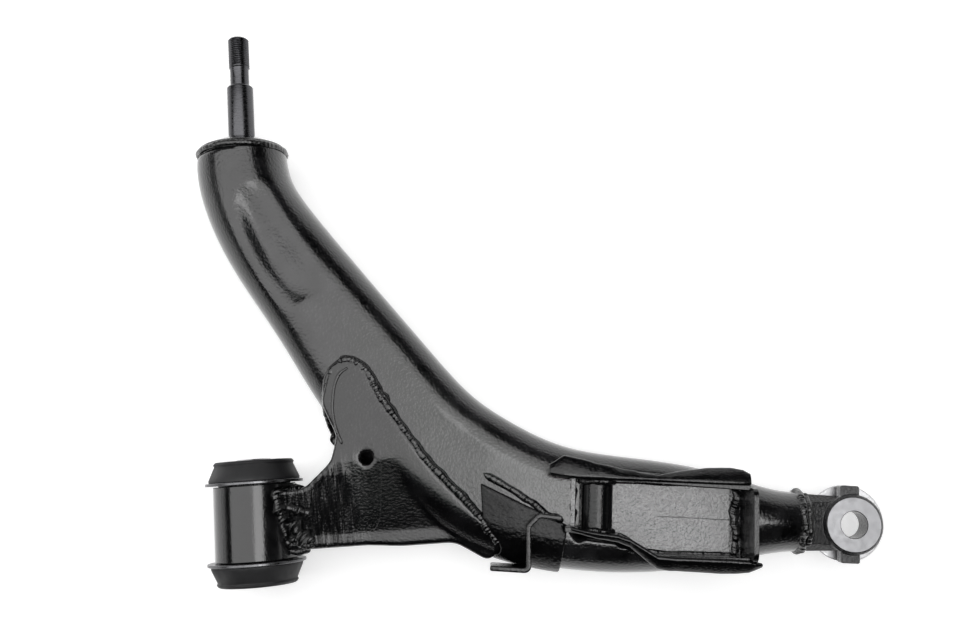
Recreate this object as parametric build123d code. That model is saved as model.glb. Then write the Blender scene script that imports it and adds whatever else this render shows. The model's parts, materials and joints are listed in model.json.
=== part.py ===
from build123d import *
import math
import os

# Lower control arm. Millimetres.
# Origin: centre of the rear bush. +Y: along the pivot axis, towards the front stud.
# +X: towards the ball-stud eye. +Z: up, the side the damper channel opens to.

# ---- main tube -------------------------------------------------------------------------------
tube_wall = 3.5
pivot_span = 279.0            # bush centre to the tube's front end
front_bend_radius = 120.0     # bend just behind the stud end
leg_heading = -57.0           # direction of the long leg, degrees from +X
outer_heading = -6.3          # direction of the outer end, degrees from +X
outer_bend_radius = 247.0     # big bend above the rear branch
eye_x = 432.5                 # ball-stud eye centre
eye_y = -31.0
neck_end_gap = 36.5           # eye centre back to the tube's outer end
front_diameter = 67.0         # round front end
knee_width = 74.0
knee_height = 62.0
leg_width = 81.0
leg_height = 54.0
elbow_width = 90.0
elbow_spread = 3.0            # the elbow bulges this much to its outer side
tube_height = 50.0            # flattened height through the elbow
outer_width = 83.0
saddle_width = 78.0
neck_diameter = 54.0          # round neck beyond the channel
neck_length = 36.0
neck_tip_diameter = 43.0      # the neck closes down onto the forged stem
section_flat = 0.8            # straight left between the two round sides of a round section

# ---- stud end --------------------------------------------------------------------------------
cap_rim = 4.0
cap_rise = 8.0
cap_thickness = 5.0
cap_overhang = 0.5
stud_root_diameter = 18.0     # stepped down where it passes through the cap
stud_hole_clearance = 0.1     # radial, stud root to the cap's hole
stud_seat_gap = 0.3           # shank stands this far off the cap's crown
stud_shank_diameter = 20.0
stud_shank_length = 44.0      # from the cap's crown to the shoulder
stud_neck_diameter = 14.3
stud_neck_length = 15.5
stud_thread_diameter = 16.0
stud_thread_length = 24.0
stud_head_diameter = 32.0
stud_head_thickness = 6.0
stud_chamfer = 1.2
cap_weld_radius = 2.2

# ---- rear bush -------------------------------------------------------------------------------
housing_diameter = 60.0
housing_wall = 4.0
housing_length = 54.0
shell_wall = 2.0
flange_diameter = 71.0
flange_thickness = 2.2
flange_gap = 0.6              # flange stands this far off the housing's end
rubber_base_diameter = 66.0
rubber_lip_diameter = 59.0
rubber_nose_length = 15.0     # rubber standing beyond the flange
rubber_lip_length = 3.0
bush_centre_gap = 0.5         # between the two halves
sleeve_diameter = 26.0
sleeve_bore = 14.2
sleeve_stand_out = 1.0        # sleeve beyond the rubber at each end
sleeve_clearance = 0.05       # radial, sleeve to rubber

# ---- rear branch -----------------------------------------------------------------------------
branch_wall = 3.5
branch_width = 43.5
branch_top_y = 40.0           # the top is flat in front of this line ...
branch_ledge_y = -12.0        # ... and slopes down to a ledge behind this one
branch_ledge_z = 17.0
branch_hole_diameter = 8.5
branch_hole_x = 87.0
branch_hole_y = 40.5
seam_gap = 0.2                # between the upper and the lower pressing

# ---- damper channel, in the outer run's own frame (u along it, v across, from the eye) --------
floor_z = 12.0                # top of the floor plate
plate = 3.5
wall_top_z = 46.0
channel_start = -201.0
channel_end = -80.5
front_wall_v = 24.5           # inner face of the front wall
rear_wall_inner_v = -12.5     # inner face beside the cross sleeve
rear_wall_outer_v = -25.5     # inner face beside the damper
wall_swing_start = -172.0     # where the rear wall swings out
wall_swing_end = -146.0
front_flange = 9.0            # outward lips of the walls
rear_flange = 8.5
sleeve_u = -185.5
cross_sleeve_diameter = 22.0
cross_bore = 12.2
bolt_access_diameter = 19.0   # way in through the tube's front side for the cross bolt
bolt_end_room = 3.0           # room for the bolt's end beyond the rear wall
end_plate_top_z = 50.0
end_plate_corner = 7.0
end_plate_margin = 2.0        # end plate beyond the walls' inner faces
cut_clearance = 0.1
weld_gap = 0.1                # left between pieces that are welded edge to edge
gusset_thickness = 3.0
gusset_reach = 4.0            # how far below the tube's middle the gusset comes

# ---- ball-stud eye ---------------------------------------------------------------------------
eye_face_z = 15.0
eye_bottom_z = -4.0
eye_boss_diameter = 43.0
eye_face_diameter = 39.0
eye_bore = 19.2
stem_width = 41.0
stem_tip_width = 38.0
stem_top_z = 13.0
stem_bottom_z = -12.0
stem_chamfer = 6.0
stem_plug_length = 16.0       # inside the tube's neck
plug_clearance = 0.15
lug_width = 13.5
lug_reach = 27.5
lug_thickness = 9.0
lug_top_drop = 3.0
shield_diameter = 55.6
shield_thickness = 2.0
shield_skirt = 4.0
shield_hole = 30.0
neck_weld_radius = 3.2

# ---- harness bracket -------------------------------------------------------------------------
strip_thickness = 3.6
strip_bottom_z = 6.0
strip_top_z = 38.0
strip_run = 22.0              # straight part across the tube
strip_x = 198.6
strip_y = -37.0


def heading_vector(degrees):
    return Vector(math.cos(math.radians(degrees)), math.sin(math.radians(degrees)))


def left_of(direction):
    return Vector(-direction.Y, direction.X)


eye_centre = Vector(eye_x, eye_y)
leg_direction = heading_vector(leg_heading)
outer_direction = heading_vector(outer_heading)

# The centreline: front bend, straight leg, big outer bend, straight run to the eye.
front_turn = leg_heading + 90.0
front_centre = Vector(front_bend_radius, pivot_span)
leg_start = front_centre - left_of(leg_direction) * front_bend_radius
across_outer = left_of(outer_direction)
offset_at_leg = (leg_start - eye_centre).dot(across_outer)
drop_per_mm = -leg_direction.dot(across_outer)
bend_drop = outer_bend_radius * (1.0 - left_of(leg_direction).dot(across_outer))
leg_length = (offset_at_leg - bend_drop) / drop_per_mm
leg_end = leg_start + leg_direction * leg_length
outer_centre = leg_end + left_of(leg_direction) * outer_bend_radius
outer_start = outer_centre - across_outer * outer_bend_radius


def on_outer_run(u, v=0.0):
    """Point at u along the outer run and v across it, counted from the eye."""
    return eye_centre + outer_direction * u + across_outer * v


def arc_point(centre, radius, heading):
    return centre - left_of(heading_vector(heading)) * radius


def section(point, heading, width, top, bottom, inset):
    """Flattened-round section square to the centreline, pulled in by inset all round."""
    direction = heading_vector(heading)
    middle = Vector(point.X, point.Y, (top + bottom) / 2)
    plane = Plane(origin=middle, x_dir=left_of(direction), z_dir=direction)
    width = width - 2 * inset
    height = top - bottom - 2 * inset
    radius = (min(width, height) - section_flat) / 2
    return plane * RectangleRounded(width, height, radius)


def tube_body(inset):
    """The main tube as a solid, from the front end to the neck."""
    front = front_diameter / 2
    knee = knee_height / 2
    leg = leg_height / 2
    half = tube_height / 2
    neck = neck_diameter / 2
    mid_knee = -90.0 + front_turn / 2
    bend = outer_heading - leg_heading
    third = leg_heading + bend / 3
    two_thirds = leg_heading + 2 * bend / 3
    leg_middle = leg_start + leg_direction * (leg_length / 2)
    saddle = on_outer_run(channel_start + 70.0)
    neck_start = on_outer_run(-neck_end_gap - neck_length)
    neck_end = on_outer_run(-neck_end_gap)
    tip = neck_tip_diameter / 2
    stations = [
        section(Vector(0, pivot_span), -90.0, front_diameter, front, -front, inset),
        section(arc_point(front_centre, front_bend_radius, mid_knee), mid_knee,
                front_diameter + 3, front - 1, -front + 1, inset),
        section(leg_start, leg_heading, knee_width, knee, -knee, inset),
        section(leg_middle, leg_heading, leg_width, leg, -leg, inset),
        section(leg_end, leg_heading, elbow_width, half, -half, inset),
        section(arc_point(outer_centre, outer_bend_radius + elbow_spread / 2, third), third,
                elbow_width, half, -half, inset),
        section(arc_point(outer_centre, outer_bend_radius + elbow_spread, two_thirds), two_thirds,
                elbow_width, half, -half, inset),
        section(outer_start, outer_heading, outer_width, half, -half, inset),
        section(saddle, outer_heading, saddle_width, half, -half, inset),
        section(neck_start, outer_heading, neck_diameter, neck, -neck, inset),
        section(neck_end, outer_heading, neck_tip_diameter, tip, -tip, inset),
    ]
    return loft(stations)


def rear_wall_line(offset):
    """Plan line of the rear wall's inner face, moved outwards by offset."""
    near = rear_wall_inner_v - offset
    far = rear_wall_outer_v - offset
    return [
        on_outer_run(channel_start - 8.0, near + 4.0),
        on_outer_run(wall_swing_start, near),
        on_outer_run(wall_swing_end, far),
        on_outer_run(channel_end - weld_gap, far + 1.0),
    ]


def front_wall_line(offset):
    """Plan line of the front wall's inner face, moved outwards by offset."""
    v = front_wall_v + offset
    return [
        on_outer_run(channel_start - 20.0, v + 3.5),
        on_outer_run(wall_swing_start, v),
        on_outer_run(channel_end - weld_gap, v - 3.0),
    ]


def plan_band(inner, outer, bottom, top):
    """Solid between two plan lines."""
    outline = inner + list(reversed(outer))
    outline.append(inner[0])
    face = make_face(Polyline(*outline))
    return extrude(Plane.XY.offset(bottom) * face, top - bottom)


def channel_space(bottom, top, margin=0.0):
    """Everything between the outer faces of the two walls."""
    front = front_wall_line(plate + margin)
    rear = rear_wall_line(plate + margin)
    block = plan_band(front, rear, bottom, top)
    start = channel_start - plate - margin
    length = channel_end - weld_gap + margin - start
    middle = on_outer_run(start + length / 2)
    window = Location((middle.X, middle.Y, (bottom + top) / 2), (0, 0, outer_heading))
    return block & (window * Box(length, 200.0, top - bottom + 2.0))


def make_main_tube():
    shell = tube_body(0.0) - tube_body(tube_wall)
    channel = channel_space(floor_z - plate - cut_clearance, tube_height, cut_clearance)
    bolt_way = across_rod(bolt_access_diameter, rear_wall_inner_v - plate - bolt_end_room, 60.0)
    return largest(shell - [channel, bolt_way])


def make_stud_end_cap():
    rim = front_diameter / 2 + cap_overhang
    spigot = front_diameter / 2 - tube_wall - plug_clearance
    hole = stud_root_diameter / 2 + stud_hole_clearance
    crown = pivot_span + cap_rim + cap_rise
    crown_radius = stud_head_diameter / 2 + stud_hole_clearance
    outline = Polyline(
        (hole, crown),
        (crown_radius, crown),
        (rim - 1.0, pivot_span + cap_rim),
        (rim, pivot_span),
        (spigot, pivot_span),
        (spigot, pivot_span - 3.0),
        (spigot - 3.0, pivot_span - 3.0),
        (crown_radius, crown - cap_thickness),
        (hole, crown - cap_thickness),
        (hole, crown),
    )
    return revolve(make_face(outline), Axis.Y)


def stud_root_y():
    return pivot_span + cap_rim + cap_rise


def make_front_stud():
    """Stud through the cap, with its head welded inside."""
    root = stud_root_diameter / 2
    shank = stud_shank_diameter / 2
    neck = stud_neck_diameter / 2
    thread = stud_thread_diameter / 2
    head = stud_head_diameter / 2
    under_cap = stud_root_y() - cap_thickness
    shoulder = stud_root_y() + stud_shank_length
    thread_start = shoulder + stud_neck_length
    tip = thread_start + stud_thread_length
    outline = Polyline(
        (0, under_cap - stud_head_thickness),
        (head, under_cap - stud_head_thickness),
        (head, under_cap),
        (root, under_cap),
        (root, stud_root_y() + stud_seat_gap),
        (shank, stud_root_y() + stud_seat_gap),
        (shank, shoulder - stud_chamfer),
        (shank - stud_chamfer, shoulder),
        (neck, shoulder),
        (neck, thread_start - (thread - neck)),
        (thread, thread_start),
        (thread, tip - stud_chamfer),
        (thread - stud_chamfer, tip),
        (0, tip),
        (0, under_cap - stud_head_thickness),
    )
    return revolve(make_face(outline), Axis.Y)


def ring_bead(origin, direction, ring_radius, bead_radius, host):
    """Weld bead round a joint, with what the parts already fill taken away."""
    plane = Plane(origin=origin, z_dir=direction)
    bead = plane * Torus(ring_radius, bead_radius)
    for solid in host:
        bead = bead - solid
    return bead


def along_y(radius, length, centre_y=0.0):
    return Location((0, centre_y, 0), (90, 0, 0)) * Cylinder(radius, length)


def make_bush_housing():
    outer = along_y(housing_diameter / 2, housing_length)
    bore = along_y(housing_diameter / 2 - housing_wall, housing_length + 2)
    return outer - bore


def bush_shell_radius():
    return housing_diameter / 2 - housing_wall


def make_bush_shell(side):
    """Flanged outer sleeve of one half of the bush."""
    outer = bush_shell_radius()
    inner = outer - shell_wall
    flange_in = housing_length / 2 + flange_gap
    flange_out = flange_in + flange_thickness
    outline = Polyline(
        (inner, side * bush_centre_gap / 2),
        (outer, side * bush_centre_gap / 2),
        (outer, side * flange_in),
        (flange_diameter / 2, side * flange_in),
        (flange_diameter / 2, side * flange_out),
        (inner, side * flange_out),
        (inner, side * bush_centre_gap / 2),
    )
    return revolve(make_face(outline), Axis.Y)


def rubber_end():
    return housing_length / 2 + flange_gap + flange_thickness + rubber_nose_length


def make_bush_rubber(side):
    """Bonded rubber of one half, with its nose beyond the flange."""
    bore = sleeve_diameter / 2 + sleeve_clearance
    bonded = bush_shell_radius() - shell_wall
    flange_face = housing_length / 2 + flange_gap + flange_thickness
    base = rubber_base_diameter / 2
    lip = rubber_lip_diameter / 2
    end = rubber_end()
    outline = Polyline(
        (bore, side * bush_centre_gap / 2),
        (bonded, side * bush_centre_gap / 2),
        (bonded, side * flange_face),
        (base, side * flange_face),
        (base, side * (flange_face + 2.0)),
        (lip - 1.0, side * (end - rubber_lip_length)),
        (lip, side * (end - rubber_lip_length + 1.0)),
        (lip - 1.5, side * end),
        (bore + 6.0, side * end),
        (bore + 3.0, side * (end - 2.5)),
        (bore, side * (end - 2.5)),
        (bore, side * bush_centre_gap / 2),
    )
    return revolve(make_face(outline), Axis.Y)


def make_bush_inner_sleeve():
    length = 2 * (rubber_end() + sleeve_stand_out)
    sleeve = along_y(sleeve_diameter / 2, length)
    sleeve = chamfer(sleeve.edges().filter_by(GeomType.CIRCLE), 0.8)
    return sleeve - along_y(sleeve_bore / 2, length + 2)


def branch_outline():
    """Plan shape of the rear branch and the tongue that it lays over the tube."""
    half = branch_width / 2
    return FilletPolyline(
        (18.0, half),
        (40.0, half),
        (61.0, 40.0),
        (66.0, 58.0),
        (56.0, 82.0),
        (64.0, 112.0),
        (88.0, 112.0),
        (99.0, 84.0),
        (136.0, 28.0),
        (168.0, -11.0),
        (180.0, -32.0),
        (168.0, -38.0),
        (146.0, -24.0),
        (108.0, -24.0),
        (84.0, -half),
        (18.0, -half),
        radius=[2, 14, 12, 7, 12, 12, 12, 20, 60, 8, 6, 6, 18, 20, 20, 2],
        close=True,
    )


def branch_roof(drop):
    """Block under the branch's top: flat, then sloping down to the ledge along its rear edge."""
    top = tube_height / 2 + branch_wall - drop
    ledge = branch_ledge_z - drop
    profile = Polyline(
        (0, 140.0, 0),
        (0, 140.0, top),
        (0, branch_top_y, top),
        (0, branch_ledge_y, ledge),
        (0, -60.0, ledge),
        (0, -60.0, 0),
        (0, 140.0, 0),
    )
    return extrude(make_face(profile), 400.0, dir=(1, 0, 0))


def make_branch_shell(side, tube, tube_skin, housing):
    """Pressed half of the rear branch: side +1 is the upper one, -1 the lower one."""
    top = tube_height
    face = make_face(branch_outline())
    plan = extrude(face, top)
    inner_plan = extrude(offset(face, -branch_wall), top)
    above = (plan - branch_roof(0.0)) - tube_skin
    shell = plan - above - (inner_plan & branch_roof(branch_wall))
    shell = shell - Location((0, 0, -1)) * extrude(face, 1 + seam_gap / 2)
    hole = Location((branch_hole_x, branch_hole_y, top / 2)) * Cylinder(branch_hole_diameter / 2, 12)
    shell = shell - hole
    if side < 0:
        shell = shell.mirror(Plane.XY)
    return shell - tube - housing


def make_gusset(tube, tube_skin, neighbours):
    """Doubler pressed over the tube's rear side, between the tongue and the channel."""
    outline = Polyline(
        on_outer_run(-269.0, 19.0),
        on_outer_run(-206.0, -8.0),
        on_outer_run(-212.0, -60.0),
        on_outer_run(-262.0, -60.0),
        on_outer_run(-269.0, 19.0),
    )
    region = extrude(Plane.XY.offset(-gusset_reach) * make_face(outline), tube_height)
    doubler = (tube_skin & region) - tube
    for solid in neighbours:
        doubler = doubler - solid
    return largest(doubler)


def largest(shape):
    return max(shape.solids(), key=lambda solid: solid.volume)


def make_channel_floor():
    """Floor plate of the damper channel, its inner end turned up to the tube's top."""
    slab = channel_space(floor_z - plate, floor_z)
    turned = channel_space(floor_z, tube_height / 2)
    for line in (front_wall_line, rear_wall_line):
        beyond = plan_band(line(0), line(plate + 30), 0, 60)
        slab = slab - beyond
        turned = turned - beyond
    middle = on_outer_run(channel_start - plate / 2)
    end = Location((middle.X, middle.Y, 20), (0, 0, outer_heading)) * Box(plate, 200, 100)
    return slab + (turned & end)


def across_rod(diameter, low_v, high_v):
    """Rod on the cross bolt's axis, between two places across the outer run."""
    centre = on_outer_run(sleeve_u, (low_v + high_v) / 2)
    height = floor_z + cross_sleeve_diameter / 2
    turn = Location((centre.X, centre.Y, height), (0, 0, outer_heading))
    return turn * (Location((0, 0, 0), (90, 0, 0)) * Cylinder(diameter / 2, high_v - low_v))


def make_channel_wall(line, flange, tube):
    """Upright wall with an outward lip along its top, bored for the cross bolt."""
    upright = plan_band(line(0.0), line(plate), floor_z - plate, wall_top_z)
    lip = plan_band(line(0.0), line(plate + flange), wall_top_z - plate, wall_top_z)
    wall = upright + lip
    wall = wall - across_rod(cross_bore, -60.0, 60.0)
    return wall - tube


def make_end_plate(tube):
    low = rear_wall_outer_v - end_plate_margin
    high = front_wall_v - 3.0 + end_plate_margin
    height = end_plate_top_z - floor_z
    middle = on_outer_run(channel_end + plate / 2, (low + high) / 2)
    place = Plane(
        origin=Vector(middle.X, middle.Y, floor_z + height / 2),
        x_dir=across_outer,
        z_dir=outer_direction,
    )
    panel = place * extrude(Rectangle(high - low, height), plate / 2, both=True)
    corners = panel.edges().filter_by(outer_direction_axis()).group_by(Axis.Z)[-1]
    return largest(fillet(corners, end_plate_corner) - tube)


def outer_direction_axis():
    return Axis((0, 0, 0), (outer_direction.X, outer_direction.Y, 0))


def make_cross_sleeve(walls):
    """Sleeve for the cross bolt, coped to the two walls."""
    low = rear_wall_inner_v - plate / 2
    high = front_wall_v + plate / 2
    sleeve = across_rod(cross_sleeve_diameter, low, high) - across_rod(cross_bore, low - 1, high + 1)
    for wall in walls:
        sleeve = sleeve - wall
    return largest(sleeve)


def eye_location(z=0.0):
    return Location((eye_x, eye_y, z), (0, 0, outer_heading))


def make_eye_forging(tube):
    """Forged stem and eye: plug, faceted stem, boss with its nut face, two stop lugs."""
    middle_z = (eye_face_z + eye_bottom_z) / 2
    boss = Location((0, 0, middle_z)) * Cylinder(eye_boss_diameter / 2, eye_face_z - eye_bottom_z)
    boss = chamfer(boss.edges().group_by(Axis.Z)[-1], (eye_boss_diameter - eye_face_diameter) / 2)
    stem_start = -neck_end_gap + weld_gap
    stem_plane = Plane(origin=(stem_start, 0, (stem_top_z + stem_bottom_z) / 2),
                       x_dir=(0, 1, 0), z_dir=(1, 0, 0))
    height = stem_top_z - stem_bottom_z
    root = stem_plane * chamfer(Rectangle(stem_width, height).vertices(), stem_chamfer)
    tip_plane = stem_plane.offset(-stem_start - 4.0)
    tip = tip_plane * chamfer(Rectangle(stem_tip_width, height - 4).vertices(), stem_chamfer - 2)
    stem = loft([root, tip], ruled=True)
    plug_radius = neck_tip_diameter / 2 - tube_wall - plug_clearance
    plug_centre = stem_start - stem_plug_length / 2 + 1.0
    plug = Location((plug_centre, 0, 0), (0, 90, 0)) * Cylinder(plug_radius, stem_plug_length)
    lugs = Location((-2.0, 0, eye_face_z - lug_top_drop - lug_thickness / 2)) * Box(
        lug_width, 2 * lug_reach, lug_thickness)
    lugs = fillet(lugs.edges().filter_by(Axis.Z), 1.5)
    forging = boss + stem + plug + lugs
    forging = forging - Cylinder(eye_bore / 2, 80)
    clearance = Location((0, 0, eye_bottom_z - 15)) * Cylinder(shield_diameter / 2 + 1, 30)
    forging = forging - clearance
    return eye_location() * forging - tube


def make_boot_shield():
    """Plated disc under the eye, with a short skirt turned down round its rim."""
    top = eye_bottom_z
    outer = shield_diameter / 2
    outline = Polyline(
        (shield_hole / 2, top),
        (outer, top),
        (outer, top - shield_skirt),
        (outer - shield_thickness, top - shield_skirt),
        (outer - shield_thickness, top - shield_thickness),
        (shield_hole / 2, top - shield_thickness),
        (shield_hole / 2, top),
    )
    disc = revolve(make_face(Plane.XZ * outline), Axis.Z)
    return eye_location() * disc


def make_harness_bracket(tube):
    """Strip standing on edge on the tube, with a hook turned out behind it."""
    path = FilletPolyline(
        (strip_x - 29.0, strip_y - 4.5),
        (strip_x - 2.0, strip_y - 8.0),
        (strip_x, strip_y + strip_run),
        (strip_x + 8.0, strip_y + strip_run + 7.0),
        (strip_x + 24.0, strip_y + strip_run + 4.0),
        radius=3.0,
    )
    face = trace(path, strip_thickness)
    strip = extrude(Plane.XY.offset(strip_bottom_z) * face, strip_top_z - strip_bottom_z)
    return strip - tube


def save(name, solid):
    export_step(solid, os.path.join("parts", name + ".step"))


def main():
    os.makedirs("parts", exist_ok=True)
    outside = tube_body(0.0)
    tube = make_main_tube()
    housing_block = along_y(housing_diameter / 2, housing_length)
    cap = make_stud_end_cap()
    forging = make_eye_forging(tube)
    branch_skin = tube_body(-branch_wall)
    upper = make_branch_shell(1, outside, branch_skin, housing_block)
    lower = make_branch_shell(-1, outside, branch_skin.mirror(Plane.XY), housing_block)
    front_wall = make_channel_wall(front_wall_line, front_flange, tube)
    rear_wall = make_channel_wall(rear_wall_line, rear_flange, tube)
    gusset = make_gusset(outside, tube_body(-gusset_thickness), [upper, lower, rear_wall])
    strip = make_harness_bracket(outside) - gusset - rear_wall - upper
    save("main_tube", tube)
    save("stud_end_cap", cap)
    save("front_stud", make_front_stud())
    save("bush_housing", make_bush_housing())
    save("bush_shell_front", make_bush_shell(1))
    save("bush_shell_rear", make_bush_shell(-1))
    save("bush_rubber_front", make_bush_rubber(1))
    save("bush_rubber_rear", make_bush_rubber(-1))
    save("bush_inner_sleeve", make_bush_inner_sleeve())
    save("branch_upper_shell", upper)
    save("branch_lower_shell", lower)
    save("channel_floor", make_channel_floor())
    save("channel_front_wall", front_wall)
    save("channel_rear_wall", rear_wall)
    save("channel_end_plate", make_end_plate(tube))
    save("cross_sleeve", make_cross_sleeve([front_wall, rear_wall]))
    save("tube_gusset", gusset)
    save("eye_forging", forging)
    save("boot_shield", make_boot_shield())
    save("harness_bracket", largest(strip))
    save("stud_cap_weld", ring_bead((0, pivot_span, 0), (0, 1, 0), front_diameter / 2 - 0.8,
                                    cap_weld_radius, [outside, cap]))
    neck_point = on_outer_run(-neck_end_gap)
    origin = (neck_point.X, neck_point.Y, 0)
    direction = (outer_direction.X, outer_direction.Y, 0)
    save("neck_weld", ring_bead(origin, direction, neck_tip_diameter / 2 - 1, neck_weld_radius,
                                [outside, forging]))


main()
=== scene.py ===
# %% [markdown]
# # Lower control arm
# This lesson dresses a welded steel control arm: one bent tube, a rubber bush at the back, a
# threaded stud at the front and a forged eye at the far end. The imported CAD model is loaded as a
# fixed frame. Everything made here sits where that frame says, in metres.
# +X runs towards the eye, +Y along the pivot axis towards the stud, and +Z is up.

# %% Load the frame
import json
import math
import bmesh
import bpy
from mathutils import Matrix, Vector, noise
from mathutils.bvhtree import BVHTree


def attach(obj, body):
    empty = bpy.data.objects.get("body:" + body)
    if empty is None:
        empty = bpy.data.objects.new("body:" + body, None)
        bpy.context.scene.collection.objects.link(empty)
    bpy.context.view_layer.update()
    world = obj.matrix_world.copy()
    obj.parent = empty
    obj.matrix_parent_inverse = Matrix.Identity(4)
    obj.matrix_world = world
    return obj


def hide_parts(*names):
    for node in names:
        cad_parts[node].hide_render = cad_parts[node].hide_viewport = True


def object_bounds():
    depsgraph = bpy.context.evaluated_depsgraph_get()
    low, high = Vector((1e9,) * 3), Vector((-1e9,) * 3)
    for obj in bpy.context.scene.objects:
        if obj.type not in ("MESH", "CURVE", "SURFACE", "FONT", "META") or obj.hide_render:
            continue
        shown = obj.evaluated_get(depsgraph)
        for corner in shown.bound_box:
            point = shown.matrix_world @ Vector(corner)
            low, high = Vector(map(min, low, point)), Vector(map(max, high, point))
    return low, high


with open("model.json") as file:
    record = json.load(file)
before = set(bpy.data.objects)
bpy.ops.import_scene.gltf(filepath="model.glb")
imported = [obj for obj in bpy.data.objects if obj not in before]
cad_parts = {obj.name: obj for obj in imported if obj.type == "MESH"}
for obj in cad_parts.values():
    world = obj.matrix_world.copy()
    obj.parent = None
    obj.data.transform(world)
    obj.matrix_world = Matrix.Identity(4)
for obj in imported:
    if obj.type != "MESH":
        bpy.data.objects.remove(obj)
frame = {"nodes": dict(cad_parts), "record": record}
cad_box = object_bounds()
MM = 0.001
print("CAD box", cad_box)

# %% [markdown]
# ## The camera comes first
# The arm lies flat and is seen from nearly straight above, with the stud end leaning a little
# away. The lens and the distance are those of a fairly long lens: far enough to look calm, near
# enough that the ends open up. A camera could be turned with three angles, but those are hard to
# check. Here it is placed by its own three axes, written in the arm's frame.

# %% Camera
LENS = 38.25
LEAN = math.radians(4.0)      # the pivot axis leans this much to the left in the view
TIP = math.radians(8.3)       # and runs this much away from the viewer
VIEW_DISTANCE = 750.7 * MM
SIDE_SHIFT = 164.9 * MM       # the bush centre lies this far left of the view's middle
DROP = 149.0 * MM             # and this far below it
pivot_in_view = Vector((-math.sin(LEAN) * math.cos(TIP), math.cos(LEAN) * math.cos(TIP), -math.sin(TIP)))
reach_in_view = Vector((math.cos(LEAN), math.sin(LEAN), 0.0))
up_in_view = reach_in_view.cross(pivot_in_view)
arm_in_view = Matrix((reach_in_view, pivot_in_view, up_in_view)).transposed()
bush_in_view = Vector((-SIDE_SHIFT, -DROP, -VIEW_DISTANCE))
camera_data = bpy.data.cameras.new("camera")
camera_data.lens = LENS
camera_data.sensor_width = 36.0
camera_data.clip_start = 0.01
camera = bpy.data.objects.new("camera", camera_data)
bpy.context.scene.collection.objects.link(camera)
view_to_arm = arm_in_view.inverted()
camera.matrix_world = Matrix.Translation(-(view_to_arm @ bush_in_view)) @ view_to_arm.to_4x4()
bpy.context.scene.camera = camera
print("camera at", [round(v, 3) for v in camera.location])

# %% [markdown]
# ## A white floor
# Glossy black paint shows almost nothing but its surroundings, so the floor comes before any
# paint. It is one flat face that glows a little, because a floor lit only by lamps would go grey
# away from them. Its glow is what the sides of the tube reflect as a bright rim.

# %% Floor
FLOOR_Z = cad_box[0][2] - 0.5 * MM
FLOOR_SIZE = 6.0


def new_object(name, mesh):
    piece = bpy.data.objects.new(name, mesh)
    bpy.context.scene.collection.objects.link(piece)
    return piece


def finish_mesh(name, bm):
    mesh = bpy.data.meshes.new(name)
    bm.to_mesh(mesh)
    bm.free()
    return new_object(name, mesh)


floor_bm = bmesh.new()
bmesh.ops.create_grid(floor_bm, x_segments=1, y_segments=1, size=FLOOR_SIZE / 2)
bmesh.ops.translate(floor_bm, verts=floor_bm.verts, vec=(0.2, 0.1, FLOOR_Z))
studio_floor = finish_mesh("studio_floor", floor_bm)
floor_material = bpy.data.materials.new("floor_white")
floor_material.use_nodes = True
floor_shader = floor_material.node_tree.nodes["Principled BSDF"]
floor_shader.inputs["Base Color"].default_value = (0.7, 0.7, 0.7, 1)
floor_shader.inputs["Roughness"].default_value = 0.9
floor_shader.inputs["Emission Color"].default_value = (1, 1, 1, 1)
floor_shader.inputs["Emission Strength"].default_value = 0.55
studio_floor.data.materials.append(floor_material)
print("floor at", round(FLOOR_Z, 4))

# %% [markdown]
# ## The walls and the dark above
# The world shader is painted by direction. Low down it is white, like the walls of a light tent.
# Higher up it falls to almost nothing, and towards -Y it is dimmed as well. A plain white
# world would be simpler, but it would turn every black face grey.

# %% World
world = bpy.data.worlds.new("studio")
bpy.context.scene.world = world
world.use_nodes = True
sky = world.node_tree
sky.nodes.clear()
sky_out = sky.nodes.new("ShaderNodeOutputWorld")
sky_shader = sky.nodes.new("ShaderNodeBackground")
sky_place = sky.nodes.new("ShaderNodeTexCoord")
sky_split = sky.nodes.new("ShaderNodeSeparateXYZ")
sky_height = sky.nodes.new("ShaderNodeMapRange")
sky_height.inputs["From Min"].default_value = 0.12
sky_height.inputs["From Max"].default_value = 0.3
sky_height.inputs["To Min"].default_value = 1.0
sky_height.inputs["To Max"].default_value = 0.003
sky_rear = sky.nodes.new("ShaderNodeMapRange")
sky_rear.inputs["From Min"].default_value = -0.75
sky_rear.inputs["From Max"].default_value = -0.3
sky_rear.inputs["To Min"].default_value = 0.04
sky_rear.inputs["To Max"].default_value = 1.0
sky_both = sky.nodes.new("ShaderNodeMath")
sky_both.operation = "MULTIPLY"
sky.links.new(sky_place.outputs["Generated"], sky_split.inputs[0])
sky.links.new(sky_split.outputs["Z"], sky_height.inputs["Value"])
sky.links.new(sky_split.outputs["Y"], sky_rear.inputs["Value"])
sky.links.new(sky_height.outputs["Result"], sky_both.inputs[0])
sky.links.new(sky_rear.outputs["Result"], sky_both.inputs[1])
sky.links.new(sky_both.outputs["Value"], sky_shader.inputs["Strength"])
sky.links.new(sky_shader.outputs["Background"], sky_out.inputs["Surface"])
sky_shader.inputs["Color"].default_value = (1, 1, 1, 1)
bpy.context.scene.view_settings.view_transform = "Standard"
print("world painted by", len(sky.nodes), "nodes")

# %% [markdown]
# ## Soft lights
# Two level panels shine straight down: a wide one that covers the arm and reaches far out on the
# stud's side, and a smaller one over the eye. They are big and near, so faces that look up reflect
# them as broad grey patches, and other faces stay black. Spot lamps would leave hard dots.

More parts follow.
